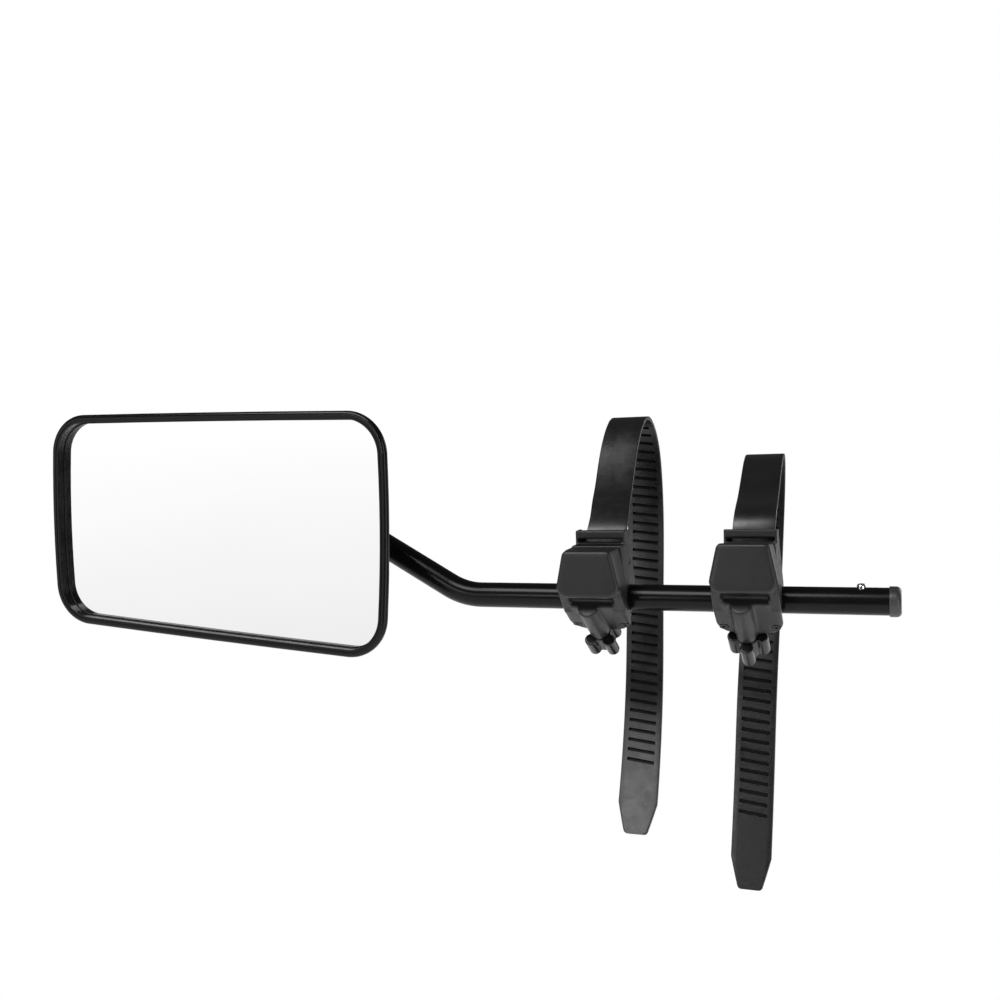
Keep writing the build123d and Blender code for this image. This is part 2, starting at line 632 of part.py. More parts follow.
def socket_collar():
    """Ring nut over the boss, which holds the seats on the ball."""
    x, y, z = tuple(BALL_LOCAL)
    ring = Pos(x, y + 4.0, z) * Rot(X=90) * Cylinder(COLLAR_R, 11.0)
    ring = fillet(ring.faces().sort_by(Axis.Y)[-1].edges(), 1.5)
    thread = Pos(x, y + 2.8, z) * Rot(X=90) * Cylinder(BOSS_R + 0.02, 8.6)
    mouth = Pos(x, y + 8.0, z) * Rot(X=90) * Cylinder(9.6, 12)
    grips = [Pos(x, y + 4.0, z) * Rot(Y=a) * Pos(COLLAR_R + 0.6, 0, 0) * Rot(X=90) * Cylinder(1.3, 12)
             for a in range(0, 360, 30)]
    return ring - thread - mouth - grips


# ---- the whole mirror ----
def rear_pad():
    """Rubber pad that bears on the vehicle's mirror."""
    return rear_plate(REAR_PAD_T, 0.1)


def clamp_nodes(side):
    clamp = CLAMPS[side]
    place = Pos(clamp["x"], 0, 0) * Rot(X=clamp["turn"])
    pieces = {
        "clamp_body": clamp_body(),
        "front_cover": front_cover(),
        "cover_screws": cover_screws(),
        "worm_screw": worm_screw(),
        "knob": knob(clamp["knob_turn"]),
        "knob_screw": knob_screw(),
        "tube_liner": tube_liner(),
        "anchor_pin": anchor_pin(),
        "rear_pad": rear_pad(),
    }
    nodes = {name + "_" + side: place * piece for name, piece in pieces.items()}
    nodes["strap_" + side] = Pos(clamp["x"] + clamp["strap_x"], 0, 0) * strap(clamp)
    return nodes


def all_nodes():
    nodes = {
        "arm_tube": arm_tube(),
        "end_cap": end_cap(),
        "snap_button": snap_button(),
        "button_spring": button_spring(),
        "arm_elbow": arm_elbow(),
        "elbow_screw": elbow_screw(),
        "ball_stud": ball_stud(),
        "ball_liner": ball_liner(),
        "seat_front": Pos(*tuple(BALL)) * Rot(Y=HEAD_ROLL) * seat_front(),
        "seat_rear": Pos(*tuple(BALL)) * Rot(Y=HEAD_ROLL) * seat_rear(),
        "head_shell": HEAD_TURN * head_shell(),
        "socket_collar": HEAD_TURN * socket_collar(),
        "glass_pad": HEAD_TURN * glass_pad(),
        "mirror_glass": HEAD_TURN * mirror_glass(),
        "rim": HEAD_TURN * rim(),
    }
    for side in CLAMPS:
        nodes.update(clamp_nodes(side))
    return nodes


PAD_MID_Z = (PAD_LOW_Z + PAD_HIGH_Z) / 2
PAD_PROUD = REAR_PAD_T - PAD_SUNK
LEAN = math.radians(REAR_LEAN)
ORIGIN = Pos(-CLAMPS["inner"]["x"], -rear_y(PAD_MID_Z) - PAD_PROUD * math.cos(LEAN),
             -PAD_MID_Z - PAD_PROUD * math.sin(LEAN))

os.makedirs("parts", exist_ok=True)
for node_name, node in all_nodes().items():
    export_step(ORIGIN * node, os.path.join("parts", node_name + ".step"))
for side, clamp in CLAMPS.items():
    print(side, "strap length", round(strap_route(clamp).length, 1))
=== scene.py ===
import json
import math

import bmesh
import bpy
import numpy as np
from mathutils import Matrix, Vector

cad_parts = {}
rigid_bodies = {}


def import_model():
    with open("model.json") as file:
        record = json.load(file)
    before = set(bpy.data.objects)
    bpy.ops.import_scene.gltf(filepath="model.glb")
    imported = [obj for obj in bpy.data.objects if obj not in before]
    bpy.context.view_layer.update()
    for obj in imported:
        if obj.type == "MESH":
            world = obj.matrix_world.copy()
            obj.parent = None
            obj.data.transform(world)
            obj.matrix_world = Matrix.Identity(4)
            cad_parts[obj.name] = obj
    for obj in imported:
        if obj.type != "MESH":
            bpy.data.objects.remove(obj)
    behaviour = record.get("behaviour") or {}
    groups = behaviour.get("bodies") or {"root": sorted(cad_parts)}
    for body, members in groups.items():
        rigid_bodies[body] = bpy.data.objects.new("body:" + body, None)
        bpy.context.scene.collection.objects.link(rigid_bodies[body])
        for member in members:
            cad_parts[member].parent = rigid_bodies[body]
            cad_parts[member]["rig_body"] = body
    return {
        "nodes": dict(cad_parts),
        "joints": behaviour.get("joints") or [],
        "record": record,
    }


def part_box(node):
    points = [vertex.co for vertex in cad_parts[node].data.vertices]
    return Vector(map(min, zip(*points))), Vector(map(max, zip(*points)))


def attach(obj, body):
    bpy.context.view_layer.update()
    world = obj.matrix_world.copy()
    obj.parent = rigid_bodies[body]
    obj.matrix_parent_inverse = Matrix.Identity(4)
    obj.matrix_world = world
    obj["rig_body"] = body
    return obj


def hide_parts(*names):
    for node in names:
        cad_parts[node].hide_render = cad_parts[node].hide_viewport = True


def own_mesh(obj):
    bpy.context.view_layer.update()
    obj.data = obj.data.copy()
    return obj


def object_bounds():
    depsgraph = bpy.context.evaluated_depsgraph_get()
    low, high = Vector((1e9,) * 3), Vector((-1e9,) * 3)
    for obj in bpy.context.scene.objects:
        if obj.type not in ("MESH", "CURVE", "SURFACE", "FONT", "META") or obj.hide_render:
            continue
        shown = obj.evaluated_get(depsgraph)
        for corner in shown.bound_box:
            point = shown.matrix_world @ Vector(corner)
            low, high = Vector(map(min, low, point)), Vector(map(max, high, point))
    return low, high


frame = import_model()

CAD_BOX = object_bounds()
MM = 0.001
NODES = frame["nodes"]
JOINTS = {joint["name"]: joint for joint in frame["joints"]}
SIDES = ("inner", "outer")

# ---- sizes of the pieces made here: lengths in millimetres, turns in degrees ----
STRAP_W = 25.2
STRAP_T = 2.6
STRAP_EDGE_R = 0.5
SLOT_PITCH = 6.5
SLOT_W = 17.4
SLOT_H = 1.7
SLOT_DEPTH = 1.6
SLOT_SLANT = 0.115
SLOT_FLOOR_SIDE = 2
SLOT_COUNT = 46
SLOT_END_SLOPE = 0.28
SLOT_SIDE_SLOPE = 0.25
SLOT_FLOOR_INSET = 0.04
SLOT_CLEARANCE = 0.3
SLOT_TO_EDGE = 1.5
SLANT_FADE = 16.0
LAST_SLOT_FROM_TIP = 46.5
STATION_STEP = 3.0
CURVE_POINTS = 4000
CHORD_HALF = 0.5
TIP_TAPER = 19.5
TIP_HALF_W = 7.2
TIP_CORNER_R = 1.6
TIP_STATIONS = 9
TIP_CURVE = 0.92
TIP_STATION_CURVE = 0.9
TIP_END_STATIONS = (1.2, 0.5, 0.12, 0.0)
EYE_R = 4.0
BAND_START = 3.5
PIN_HOLE_R = 2.05
EYE_SEGMENTS = 32
ANCHOR = (4.6, 22.0)
GUIDE_POINTS = ((0, 31.0), (0.6, 38.0))
STRAIGHT_Z = 36.0
STRAP_SHARP_ANGLE = 38
STRAPS = {
    "inner": {
        "turn": 0.0, "x": 0.5, "drift": (0.078, -0.078),
        "lean": ((2.2, 26.0, 16.0), (-1.4, 78.0, 24.0)),
        "route": ((11, 46), (33, 63), (52, 83), (70, 103), (88, 109), (100, 97), (102, 72),
                  (93, 36), (73, -14), (52, -66), (34, -101), (16, -130), (1, -151.5)),
    },
    "outer": {
        "turn": -7.0, "x": 0.5, "drift": (-0.035, 0.038),
        "lean": ((0.8, 34.0, 22.0),),
        "route": ((13, 45), (40, 57), (66, 70), (88, 80), (104, 78), (108, 62), (101, 35),
                  (80, -20), (55, -76), (45, -118), (32, -160), (21, -189)),
    },
}

# CAD nodes that get the soft edges of a moulding: the voxel size, in millimetres, and the
# rounds of softening
SIDE_MOULDINGS = {"clamp_body_": (0.38, 10), "front_cover_": (0.45, 54), "knob_": (0.3, 9)}
MOULDINGS = {"arm_elbow": (0.4, 5), "end_cap": (0.3, 16), "head_shell": (1.1, 4)}
WELD_MM = 0.02

# ---- sizes of the studio, in metres, and its camera ----
FLOOR_DROP = 0.30
FLOOR_HALF_WIDTH = 5.0
FLOOR_FRONT_Y = -1.7
BACKDROP_Y = 2.6
BACKDROP_HEIGHT = 4.0
SURROUND_R = 9.0
CARD_DISTANCE = 0.5
CARD_HALF_SIZE = (0.30, 0.2)
CARD_GLOW = (0.88, 1.03)
GLASS_FACE_M2 = 1e-6
WORLD_GLOW = 0.09
CAMERA_PLACE_MM = (175.93, -662.19, 101.40)
CAMERA_YAW, CAMERA_PITCH, CAMERA_ROLL = 20.49, -4.47, -2.55
CAMERA_LENS, CAMERA_SENSOR = 38.88, 36.0
# name, azimuth, elevation, distance, (width, height), power
LAMPS = (
    ("front_softbox", -24.0, 54.0, 1.5, (1.1, 0.55), 17.0),
    ("low_front_strip", -18.0, 12.0, 1.5, (0.6, 0.3), 3.0),
    ("edge_strip", 136.0, 8.0, 1.3, (0.5, 1.0), 4.0),
    ("right_strip", 47.0, 3.0, 1.4, (0.45, 1.1), 5.0),
)


# ---- materials ----
EDGE_FROM, EDGE_TO = 0.52, 0.62


def around(base, less, more):
    """A darker and a lighter colour either side of one."""
    return tuple(c * less for c in base), tuple(c * more for c in base)


def new_material(name):
    """A material with its node tree and shader."""
    material = bpy.data.materials.new(name)
    material.use_nodes = True
    shader = material.node_tree.nodes["Principled BSDF"]
    return material, material.node_tree, shader


def mapped(tree, scale=(1, 1, 1)):
    """Object coordinates, stretched."""
    coordinates = tree.nodes.new("ShaderNodeTexCoord")
    mapping = tree.nodes.new("ShaderNodeMapping")
    mapping.inputs["Scale"].default_value = scale
    tree.links.new(coordinates.outputs["Object"], mapping.inputs["Vector"])
    return mapping.outputs["Vector"]


def noise(tree, vector, scale, detail=4.0, roughness=0.55):
    """A cloud of values, finer as scale grows."""
    node = tree.nodes.new("ShaderNodeTexNoise")
    node.inputs["Scale"].default_value = scale
    node.inputs["Detail"].default_value = detail
    node.inputs["Roughness"].default_value = roughness
    tree.links.new(vector, node.inputs["Vector"])
    return node.outputs["Fac"]


def ramped(tree, value, low, high, low_at=0.35, high_at=0.65):
    """A value turned into a range between two greys or colours."""
    ramp = tree.nodes.new("ShaderNodeValToRGB")
    ramp.color_ramp.elements[0].position = low_at
    ramp.color_ramp.elements[1].position = high_at
    for element, level in zip(ramp.color_ramp.elements, (low, high)):
        colour = level if isinstance(level, tuple) else (level, level, level)
        element.color = (*colour, 1)
    tree.links.new(value, ramp.inputs["Fac"])
    return ramp.outputs["Color"]


def bumped(tree, shader, height, strength, distance):
    """Adds a height to the shader's surface, on top of any that it has."""
    bump = tree.nodes.new("ShaderNodeBump")
    bump.inputs["Strength"].default_value = strength
    bump.inputs["Distance"].default_value = distance
    tree.links.new(height, bump.inputs["Height"])
    previous = shader.inputs["Normal"].links
    if previous:
        tree.links.new(previous[0].from_socket, bump.inputs["Normal"])
    tree.links.new(bump.outputs["Normal"], shader.inputs["Normal"])


def worn_edges(tree, level):
    """Lighter where an edge is handled."""
    geometry = tree.nodes.new("ShaderNodeNewGeometry")
    ramp = tree.nodes.new("ShaderNodeValToRGB")
    ramp.color_ramp.elements[0].position = EDGE_FROM
    ramp.color_ramp.elements[1].position = EDGE_TO
    ramp.color_ramp.elements[0].color = (0, 0, 0, 1)
    ramp.color_ramp.elements[1].color = (level, level, level, 1)
    tree.links.new(geometry.outputs["Pointiness"], ramp.inputs["Fac"])
    return ramp.outputs["Color"]


def summed(tree, first, second):
    """Two colours added."""
    mix = tree.nodes.new("ShaderNodeMix")
    mix.data_type = "RGBA"
    mix.blend_type = "ADD"
    mix.inputs["Factor"].default_value = 1.0
    tree.links.new(first, mix.inputs[6])
    tree.links.new(second, mix.inputs[7])
    return mix.outputs[2]


def plastic(name, base, rough, grain_mm, grain, spread=0.12, edge=0.0, specular=0.5):
    """Moulded plastic: fine grain, faint flow marks in its gloss and slightly rubbed edges."""
    material, tree, shader = new_material(name)
    place = mapped(tree)
    broad = noise(tree, place, 38.0, 5.0)
    fine = noise(tree, place, 1.0 / (grain_mm * MM), 3.0, 0.6)
    colour = ramped(tree, broad, *around(base, 1 - spread, 1 + spread))
    if edge:
        colour = summed(tree, colour, worn_edges(tree, edge))
    tree.links.new(colour, shader.inputs["Base Color"])
    gloss = ramped(tree, noise(tree, place, 120.0, 6.0, 0.65), rough - 0.06, rough + 0.06)
    tree.links.new(gloss, shader.inputs["Roughness"])
    shader.inputs["Specular IOR Level"].default_value = specular
    bumped(tree, shader, fine, grain, 0.00008)
    bumped(tree, shader, broad, 0.12, 0.0004)
    return material


def painted(name, base, rough):
    """Gloss powder coat with faint orange peel."""
    material, tree, shader = new_material(name)
    place = mapped(tree)
    peel = noise(tree, place, 420.0, 2.0, 0.5)
    cloud = noise(tree, place, 25.0, 4.0)
    tree.links.new(ramped(tree, cloud, *around(base, 0.85, 1.15)), shader.inputs["Base Color"])
    tree.links.new(ramped(tree, cloud, rough, rough + 0.07), shader.inputs["Roughness"])
    shader.inputs["Specular IOR Level"].default_value = 0.17
    shader.inputs["Coat Weight"].default_value = 0.02
    shader.inputs["Coat Roughness"].default_value = 0.06
    bumped(tree, shader, peel, 0.05, 0.0002)
    return material


def metal(name, base, rough, stretch=(1, 1, 1), streaks=900.0, bump=0.08):
    """Bare or plated metal with fine streaks in its gloss."""
    material, tree, shader = new_material(name)
    place = mapped(tree, stretch)
    grain = noise(tree, place, streaks, 4.0, 0.6)
    tree.links.new(ramped(tree, grain, tuple(c * 0.88 for c in base), base), shader.inputs["Base Color"])
    tree.links.new(ramped(tree, grain, rough - 0.05, rough + 0.08), shader.inputs["Roughness"])
    shader.inputs["Metallic"].default_value = 1.0
    bumped(tree, shader, grain, bump, 0.00005)
    return material


def silvered_glass(name):
    """Silvered glass, clear, with faint clouds and dust in its gloss."""
    material, tree, shader = new_material(name)
    place = mapped(tree)
    cloud = noise(tree, place, 6.0, 3.0)
    dust = noise(tree, place, 700.0, 2.0)
    silver = ramped(tree, cloud, (0.962, 0.962, 0.963), (0.982, 0.982, 0.983))
    tree.links.new(silver, shader.inputs["Base Color"])
    tree.links.new(ramped(tree, dust, 0.02, 0.035), shader.inputs["Roughness"])
    shader.inputs["Metallic"].default_value = 1.0
    return material


def foam(name, base):
    """Closed-cell rubber with its cut cells showing."""
    material, tree, shader = new_material(name)
    place = mapped(tree)
    cells = tree.nodes.new("ShaderNodeTexVoronoi")
    cells.inputs["Scale"].default_value = 1400.0
    tree.links.new(place, cells.inputs["Vector"])
    cloud = noise(tree, place, 90.0)
    tree.links.new(ramped(tree, cloud, *around(base, 0.8, 1.25)), shader.inputs["Base Color"])
    shader.inputs["Roughness"].default_value = 0.82
    bumped(tree, shader, cells.outputs["Distance"], 0.5, 0.00025)
    return material


MATERIALS = {
    "arm_paint": painted("gloss black powder coat", (0.003, 0.003, 0.0031), 0.2),
    "gloss_plastic": plastic("end cap plastic", (0.03, 0.03, 0.0303), 0.4, 0.5, 0.3, edge=0.01),
    "clamp_plastic": plastic("moulded clamp plastic", (0.01, 0.01, 0.0101), 0.4, 0.42, 0.6,
                             edge=0.03, specular=0.42),
    "knob_plastic": plastic("moulded knob plastic", (0.0055, 0.0055, 0.0056), 0.24, 0.42, 0.2,
                            edge=0.02, specular=0.36),
    "shell_plastic": plastic("grained shell plastic", (0.022, 0.022, 0.0222), 0.5, 0.9, 0.9, edge=0.012),
    "rim_plastic": plastic("satin rim plastic", (0.0035, 0.0035, 0.0036), 0.2, 0.5, 0.06, specular=0.22),
    "liner_plastic": plastic("natural liner plastic", (0.03, 0.03, 0.031), 0.35, 0.6, 0.2),
    "strap_rubber": plastic("satin strap elastomer", (0.0055, 0.0055, 0.0056), 0.36, 0.35, 0.3, edge=0.02),
    "pad_rubber": foam("closed-cell rubber", (0.02, 0.02, 0.02)),
    "zinc_steel": metal("zinc plated steel", (0.5, 0.51, 0.53), 0.3),
    "bright_steel": metal("ground steel", (0.56, 0.56, 0.57), 0.18, (1, 12, 1)),
    "button_chrome": metal("polished chrome", (0.88, 0.88, 0.89), 0.07, streaks=300.0, bump=0.01),
    "mirror_glass": silvered_glass("silvered mirror glass"),
}
# Painted shade: a darker, rougher and less glossy plastic on the strap's slot floors, standing in for the
# shade inside the slots.
SLOT_FLOOR_PAINTED_SHADE = plastic("painted shade in strap slots", (0.0035, 0.0035, 0.0036), 0.6, 0.35, 0.3, specular=0.2)
BLACK_STEEL = metal("blackened steel", (0.06, 0.06, 0.062), 0.5)
NODE_SLOT = {entry["node"]: entry["material_slot"] for entry in frame["record"]["subparts"]}


def finish_with(piece, slot):
    """Gives a piece the finish of one of the record's material slots."""
    piece.data.materials.clear()
    piece.data.materials.append(MATERIALS[slot])


def smoothed(mesh, degrees):
    """Smooth shading that stays sharp at edges steeper than an angle."""
    mesh.polygons.foreach_set("use_smooth", np.ones(len(mesh.polygons), bool))
    mesh.set_sharp_from_angle(angle=math.radians(degrees))


def stand_for(piece, node):
    """The piece rides where a CAD node does and is shown instead of it."""
    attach(piece, NODES[node]["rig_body"])
    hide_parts(node)


# ---- moulded pieces: the CAD shapes with the soft edges of a moulding ----
def moulded(node, voxel_mm, rounds):
    """A copy of a CAD node whose edges are rounded off, which stands in for it."""
    source = NODES[node].data.copy()
    piece = bpy.data.objects.new(node + "_moulding", source)
    bpy.context.scene.collection.objects.link(piece)
    weld = piece.modifiers.new("weld", "WELD")
    weld.merge_threshold = WELD_MM * MM
    remesh = piece.modifiers.new("remesh", "REMESH")
    remesh.mode = "VOXEL"
    remesh.voxel_size = voxel_mm * MM
    soften = piece.modifiers.new("soften", "SMOOTH")
    soften.factor = 0.5
    soften.iterations = rounds
    graph = bpy.context.evaluated_depsgraph_get()
    mesh = bpy.data.meshes.new_from_object(piece.evaluated_get(graph))
    piece.modifiers.clear()
    piece.data = mesh
    mesh.polygons.foreach_set("use_smooth", np.ones(len(mesh.polygons), bool))
    finish_with(piece, NODE_SLOT[node])
    stand_for(piece, node)


# ---- straps ----
def spline_through(points):
    """Points close together on a smooth curve through the given ones, and how far along it each is."""
    knots = np.array(points, float)
    at = np.concatenate(([0.0], np.cumsum(np.linalg.norm(np.diff(knots, axis=0), axis=1))))
    step = np.diff(at)
    n = len(knots)
    system, right = np.zeros((n, n)), np.zeros((n, 2))
    slope = np.diff(knots, axis=0) / step[:, None]
    system[0, 0] = system[-1, -1] = 1.0
    right[0], right[-1] = slope[0], slope[-1]
    for i in range(1, n - 1):
        system[i, i - 1:i + 2] = step[i], 2 * (step[i - 1] + step[i]), step[i - 1]
        right[i] = 3 * (step[i] * slope[i - 1] + step[i - 1] * slope[i])
    tangent = np.linalg.solve(system, right)

    def curve(t):
        """Places on the curve, a cubic between each two knots."""
        i = np.clip(np.searchsorted(at, t) - 1, 0, n - 2)
        h = step[i][:, None]
        u = ((t - at[i]) / step[i])[:, None]
        return ((2 * u**3 - 3 * u**2 + 1) * knots[i] + (u**3 - 2 * u**2 + u) * h * tangent[i]
                + (3 * u**2 - 2 * u**3) * knots[i + 1] + (u**3 - u**2) * h * tangent[i + 1])

    line = curve(np.linspace(0, at[-1], CURVE_POINTS))
    length = np.concatenate(([0.0], np.cumsum(np.linalg.norm(np.diff(line, axis=0), axis=1))))
    return line, length


def turned(point, degrees):
    """A (y, z) point turned about the arm's axis."""
    c, s = math.cos(math.radians(degrees)), math.sin(math.radians(degrees))
    return (point[0] * c - point[1] * s, point[0] * s + point[1] * c)


def strap_stations(length):
    """Where the strap's cross-sections lie: a regular spacing, with four more at each slot."""
    stations = list(np.arange(BAND_START, length - TIP_TAPER, STATION_STEP))
    slots = [length - LAST_SLOT_FROM_TIP - i * SLOT_PITCH for i in range(SLOT_COUNT)]
    mouth, floor = SLOT_H / 2 + SLOT_END_SLOPE, SLOT_H / 2 - SLOT_FLOOR_INSET
    clear = mouth + SLOT_CLEARANCE
    for middle in slots:
        stations = [s for s in stations if abs(s - middle) > clear]
        stations += [middle - mouth, middle - floor, middle + floor, middle + mouth]
    stations += list(length - TIP_TAPER * (1 - np.linspace(0, 1, TIP_STATIONS)[:-1] ** TIP_STATION_CURVE))
    stations += [length - back for back in TIP_END_STATIONS]
    return np.array(sorted(set(round(s, 4) for s in stations))), slots


def half_width(from_tip):
    """Half the strap's width, which tapers to a blunt rounded tip."""
    full = STRAP_W / 2
    from_tip = max(from_tip, 0.0)
    if from_tip > TIP_TAPER:
        return full
    width = TIP_HALF_W + (full - TIP_HALF_W) * (from_tip / TIP_TAPER) ** TIP_CURVE
    if from_tip < TIP_CORNER_R:
        width -= TIP_CORNER_R - math.sqrt(TIP_CORNER_R**2 - (TIP_CORNER_R - from_tip) ** 2)
    return width


def section(half, slot_depth):
    """The strap's outline across: inner face with the slot, rounded edges and outer face."""
    r, t = STRAP_EDGE_R, STRAP_T / 2
    slot = min(SLOT_W / 2, half - SLOT_TO_EDGE)
    mouth = slot + SLOT_SIDE_SLOPE
    inner = [(-half + r, t), (-mouth, t), (-slot, t - slot_depth), (slot, t - slot_depth),
             (mouth, t), (half - r, t)]
    arc = [math.radians(a) for a in (30, 60, 90)]
    corner = [(half - r + r * math.sin(a), t - r + r * math.cos(a)) for a in arc]
    mirrored = [(x, -y) for x, y in reversed(corner)]
    outer = [(half - r, -t), (half / 3, -t), (-half / 3, -t), (-half + r, -t)]
    other = [(-x, y) for x, y in reversed(mirrored)] + [(-x, y) for x, y in reversed(corner)]
    return inner + corner + mirrored + outer + other


def strap_shift(side, s):
    """How far the strap leans to one side of its guide where it leaves the clamp."""
    return sum(size * math.exp(-((s - middle) / spread) ** 2)
               for size, middle, spread in STRAPS[side]["lean"])


def slant_at(s, length):
    """How steeply the slots cross the strap, which fades towards the strap's own ends."""
    fade = min((length - TIP_TAPER - s) / SLANT_FADE, (s - EYE_R) / SLANT_FADE, 1.0)
    return SLOT_SLANT * max(fade, 0.0)


def strap(side):
    """Ladder strap with moulded slots, rounded edges and a blunt tip."""
    data = STRAPS[side]
    start = turned(ANCHOR, data["turn"])
    guides = [start] + [turned((ANCHOR[0] + dy, z), data["turn"]) for dy, z in GUIDE_POINTS]
    line, length = spline_through(guides + list(data["route"]))

    def on_curve(at):
        """The (y, z) place that far along the strap."""
        return np.array([np.interp(at, length, line[:, k]) for k in (0, 1)])

    stations, slots = strap_stations(length[-1])
    low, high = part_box("clamp_body_" + side)
    middle_x = (low.x + high.x) / 2 / MM + data["x"]
    _, axis_y, axis_z = (value / MM for value in JOINTS["arm_turn"]["pos_m"])
    vertices, faces = [], []
    for s in stations:
        in_slot = any(abs(s - m) < SLOT_H / 2 for m in slots)
        outline = section(half_width(length[-1] - s), SLOT_DEPTH if in_slot else 0.0)
        for across, depth in outline:
            at = min(s + slant_at(s, length[-1]) * across, length[-1])
            y, z = on_curve(at)
            chord = on_curve(at + CHORD_HALF) - on_curve(at - CHORD_HALF)
            along = chord / np.linalg.norm(chord)
            place = np.array([y, z]) + np.array([along[1], -along[0]]) * depth
            drift = data["drift"][0] * (y - start[0]) + data["drift"][1] * (z - STRAIGHT_Z)
            vertices.append(((middle_x + drift + strap_shift(side, at) + across) * MM,
                             (axis_y + place[0]) * MM, (axis_z + place[1]) * MM))
    n = len(outline)
    # Faces of the slot floors, which get the painted shade material.
    painted_shade_slot_faces = []
    for row in range(len(stations) - 1):
        middle = (stations[row] + stations[row + 1]) / 2
        sunk = any(abs(middle - m) < SLOT_H / 2 for m in slots)
        if sunk:
            painted_shade_slot_faces.append(len(faces) + SLOT_FLOOR_SIDE)
        for i in range(n):
            j = (i + 1) % n
            faces.append((row * n + i, row * n + j, (row + 1) * n + j, (row + 1) * n + i))
    faces.append(tuple(reversed(range(n))))
    last = (len(stations) - 1) * n
    faces.append(tuple(range(last, last + n)))
    ring, ring_faces = strap_eye((axis_y + start[0], axis_z + start[1]), middle_x)
    faces += [tuple(len(vertices) + corner for corner in face) for face in ring_faces]
    vertices += ring
    return vertices, faces, painted_shade_slot_faces


def outward(mesh):
    """Every face turned to face out of its solid."""
    shape = bmesh.new()
    shape.from_mesh(mesh)
    bmesh.ops.recalc_face_normals(shape, faces=shape.faces)
    shape.to_mesh(mesh)
    shape.free()
    mesh.update()


def strap_eye(centre, middle_x):
    """The eye round the anchor pin: a short tube as wide as the strap."""
    rings = []
    for x, radius in ((-1, EYE_R), (1, EYE_R), (1, PIN_HOLE_R), (-1, PIN_HOLE_R)):
        for k in range(EYE_SEGMENTS):
            a = 2 * math.pi * k / EYE_SEGMENTS
            rings.append(((middle_x + x * STRAP_W / 2) * MM, (centre[0] + radius * math.cos(a)) * MM,
                          (centre[1] + radius * math.sin(a)) * MM))
    faces = []
    for ring in range(4):
        for k in range(EYE_SEGMENTS):
            after = (k + 1) % EYE_SEGMENTS
            here, there = ring * EYE_SEGMENTS, (ring + 1) % 4 * EYE_SEGMENTS
            faces.append((here + k, here + after, there + after, there + k))
    return rings, faces


def strap_piece(side):
    """A strap's mesh, which stands in for its CAD node."""
    node = "strap_" + side
    vertices, faces, painted_shade_slot_faces = strap(side)
    mesh = bpy.data.meshes.new(node + "_band")
    mesh.from_pydata(vertices, [], faces)
    outward(mesh)
    smoothed(mesh, STRAP_SHARP_ANGLE)
    piece = bpy.data.objects.new(node + "_band", mesh)
    bpy.context.scene.collection.objects.link(piece)
    finish_with(piece, NODE_SLOT[node])
    # Painted shade: the slot floors get the darker material.
    mesh.materials.append(SLOT_FLOOR_PAINTED_SHADE)
    for index in painted_shade_slot_faces:
        mesh.polygons[index].material_index = 1
    stand_for(piece, node)


# ---- the object ----
for node, carried in NODES.items():
    finish_with(carried, NODE_SLOT[node])

for side in SIDES:
    screws = NODES["cover_screws_" + side].data
    screws.materials.clear()
    screws.materials.append(BLACK_STEEL)
    for start_of_name, softness in SIDE_MOULDINGS.items():
        moulded(start_of_name + side, *softness)
    strap_piece(side)
for node, softness in MOULDINGS.items():
    moulded(node, *softness)


def coil_spring():
    """The button's spring, a copy of its CAD node that stands in for it."""
    node, joint = "button_spring", JOINTS["button_press"]
    piece = bpy.data.objects.new(node + "_coil", NODES[node].data.copy())
    bpy.context.scene.collection.objects.link(piece)
    finish_with(piece, NODE_SLOT[node])
    stand_for(piece, node)
    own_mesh(piece)


coil_spring()

# ---- floor, backdrop and light ----
def stage_mesh(name, vertices, faces, material):
    """A mesh that belongs to the studio and not to the object."""
    mesh = bpy.data.meshes.new(name)
    mesh.from_pydata(vertices, [], faces)
    obj = bpy.data.objects.new(name, mesh)
    bpy.context.scene.collection.objects.link(obj)
    obj.data.materials.append(material)
    return obj


def studio_white(name, albedo, glow):
    """Matt white that also glows."""
    material, tree, shader = new_material(name)
    shader.inputs["Base Color"].default_value = (albedo, albedo, albedo, 1)
    shader.inputs["Roughness"].default_value = 0.9
    shader.inputs["Specular IOR Level"].default_value = 0.0
    shader.inputs["Emission Color"].default_value = (1, 1, 1, 1)
    shader.inputs["Emission Strength"].default_value = glow
    return material


def panel(name, corners, material):
    """A flat four-cornered piece of the studio, which the camera doesn't see."""
    piece = stage_mesh(name, corners, [(0, 1, 2, 3)], material)
    piece.visible_camera = False
    return piece


def floor_and_backdrop(floor_z):
    """A pale floor, and a wall that lights the object from behind but isn't mirrored in it."""
    material = studio_white("pale floor", 0.86, 0.45)
    left, right = -FLOOR_HALF_WIDTH, FLOOR_HALF_WIDTH
    top_z = floor_z + BACKDROP_HEIGHT
    panel("floor", [(left, FLOOR_FRONT_Y, floor_z), (right, FLOOR_FRONT_Y, floor_z),
                    (right, BACKDROP_Y, floor_z), (left, BACKDROP_Y, floor_z)], material)
    wall = panel("backdrop", [(left, BACKDROP_Y, floor_z), (right, BACKDROP_Y, floor_z),
                              (right, BACKDROP_Y, top_z), (left, BACKDROP_Y, top_z)], material)
    wall.visible_glossy = False


def white_surround():
    """A plain white dome that only the camera sees, so that every view has the same pale background."""
    bpy.ops.mesh.primitive_uv_sphere_add(segments=32, ring_count=16, radius=SURROUND_R)
    dome = bpy.context.object
    dome.name = "white_surround"
    dome.data.materials.append(studio_white("white surround", 0.0, 1.0))
    dome.visible_diffuse = dome.visible_glossy = False
    dome.visible_transmission = dome.visible_shadow = False


def area_light(name, size, location, target, power):
    """A rectangular lamp that points at a target."""
    data = bpy.data.lights.new(name, "AREA")
    data.shape = "RECTANGLE"
    data.size, data.size_y = size
    data.energy = power
    obj = bpy.data.objects.new(name, data)
    obj.location = location
    obj.rotation_euler = (Vector(target) - Vector(location)).to_track_quat("-Z", "Y").to_euler()
    bpy.context.scene.collection.objects.link(obj)
    return obj


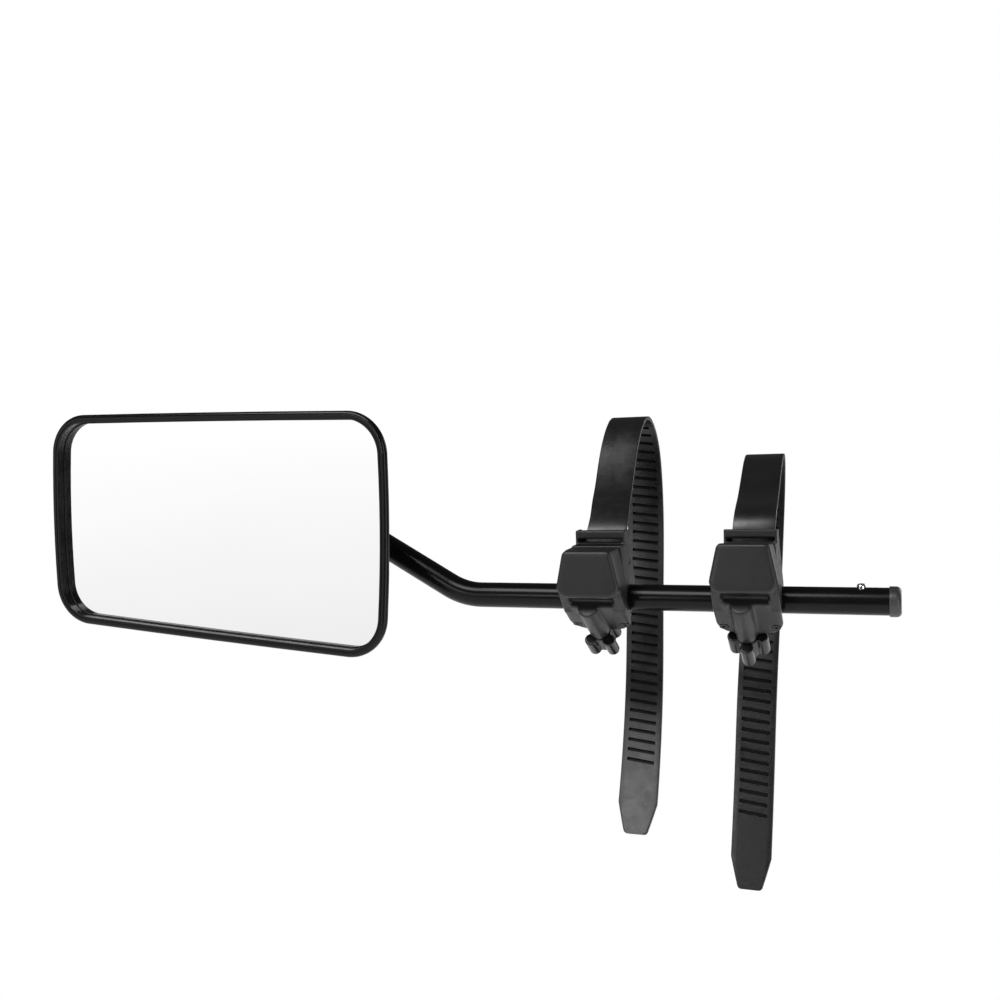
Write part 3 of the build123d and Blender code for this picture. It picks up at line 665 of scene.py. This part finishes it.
def glow_card(name, corners, low_glow, high_glow):
    """A bright card, brighter towards its top, that fills what the glass shows."""
    material, tree, shader = new_material(name)
    coordinates = tree.nodes.new("ShaderNodeTexCoord")
    split = tree.nodes.new("ShaderNodeSeparateXYZ")
    tree.links.new(coordinates.outputs["Generated"], split.inputs[0])
    glow = ramped(tree, split.outputs["Z"], low_glow, high_glow, 0.15, 0.75)
    shader.inputs["Base Color"].default_value = (0, 0, 0, 1)
    shader.inputs["Specular IOR Level"].default_value = 0.0
    shader.inputs["Emission Strength"].default_value = 1.0
    tree.links.new(glow, shader.inputs["Emission Color"])
    panel(name, corners, material)


low, high = CAD_BOX
centre = (Vector(low) + Vector(high)) / 2
floor_and_backdrop(low[2] - FLOOR_DROP)
white_surround()
world = bpy.data.worlds.new("studio")
world.use_nodes = True
world.node_tree.nodes["Background"].inputs["Color"].default_value = (1, 1, 1, 1)
world.node_tree.nodes["Background"].inputs["Strength"].default_value = WORLD_GLOW
bpy.context.scene.world = world
bpy.context.scene.view_settings.view_transform = "Standard"

# ---- camera ----
camera_data = bpy.data.cameras.new("camera")
camera_data.sensor_width = CAMERA_SENSOR
camera_data.lens = CAMERA_LENS
camera = bpy.data.objects.new("camera", camera_data)
camera.matrix_world = (
    Matrix.Translation(Vector(CAMERA_PLACE_MM) * MM)
    @ Matrix.Rotation(math.radians(CAMERA_YAW), 4, "Z")
    @ Matrix.Rotation(math.radians(90 + CAMERA_PITCH), 4, "X")
    @ Matrix.Rotation(math.radians(CAMERA_ROLL), 4, "Z")
)
bpy.context.scene.collection.objects.link(camera)
bpy.context.scene.camera = camera

# ---- what the glass shows, and the lamps ----
glass_low, glass_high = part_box("mirror_glass")
glass_middle = (glass_low + glass_high) / 2
glass = NODES["mirror_glass"].data
facing = max(glass.polygons, key=lambda face: (face.area > GLASS_FACE_M2, -face.normal.y)).normal.copy()
seen_along = (glass_middle - camera.matrix_world.translation).normalized()
bounced = seen_along.reflect(facing)
across = bounced.cross(Vector((0, 0, 1))).normalized()
upward = across.cross(bounced).normalized()
card_middle = glass_middle + bounced * CARD_DISTANCE
card_corners = [card_middle + across * u * CARD_HALF_SIZE[0] + upward * v * CARD_HALF_SIZE[1]
                for u, v in ((-1, -1), (1, -1), (1, 1), (-1, 1))]
glow_card("card_before_glass", [tuple(c) for c in card_corners], *CARD_GLOW)


def lamp_from(name, azimuth, elevation, distance, size, power):
    """A lamp at a bearing from the object's middle: azimuth 0 is the front and 90 the right side."""
    a, e = math.radians(azimuth), math.radians(elevation)
    away = Vector((math.sin(a) * math.cos(e), -math.cos(a) * math.cos(e), math.sin(e)))
    area_light(name, size, centre + away * distance, centre, power).visible_camera = False


for lamp in LAMPS:
    lamp_from(*lamp)
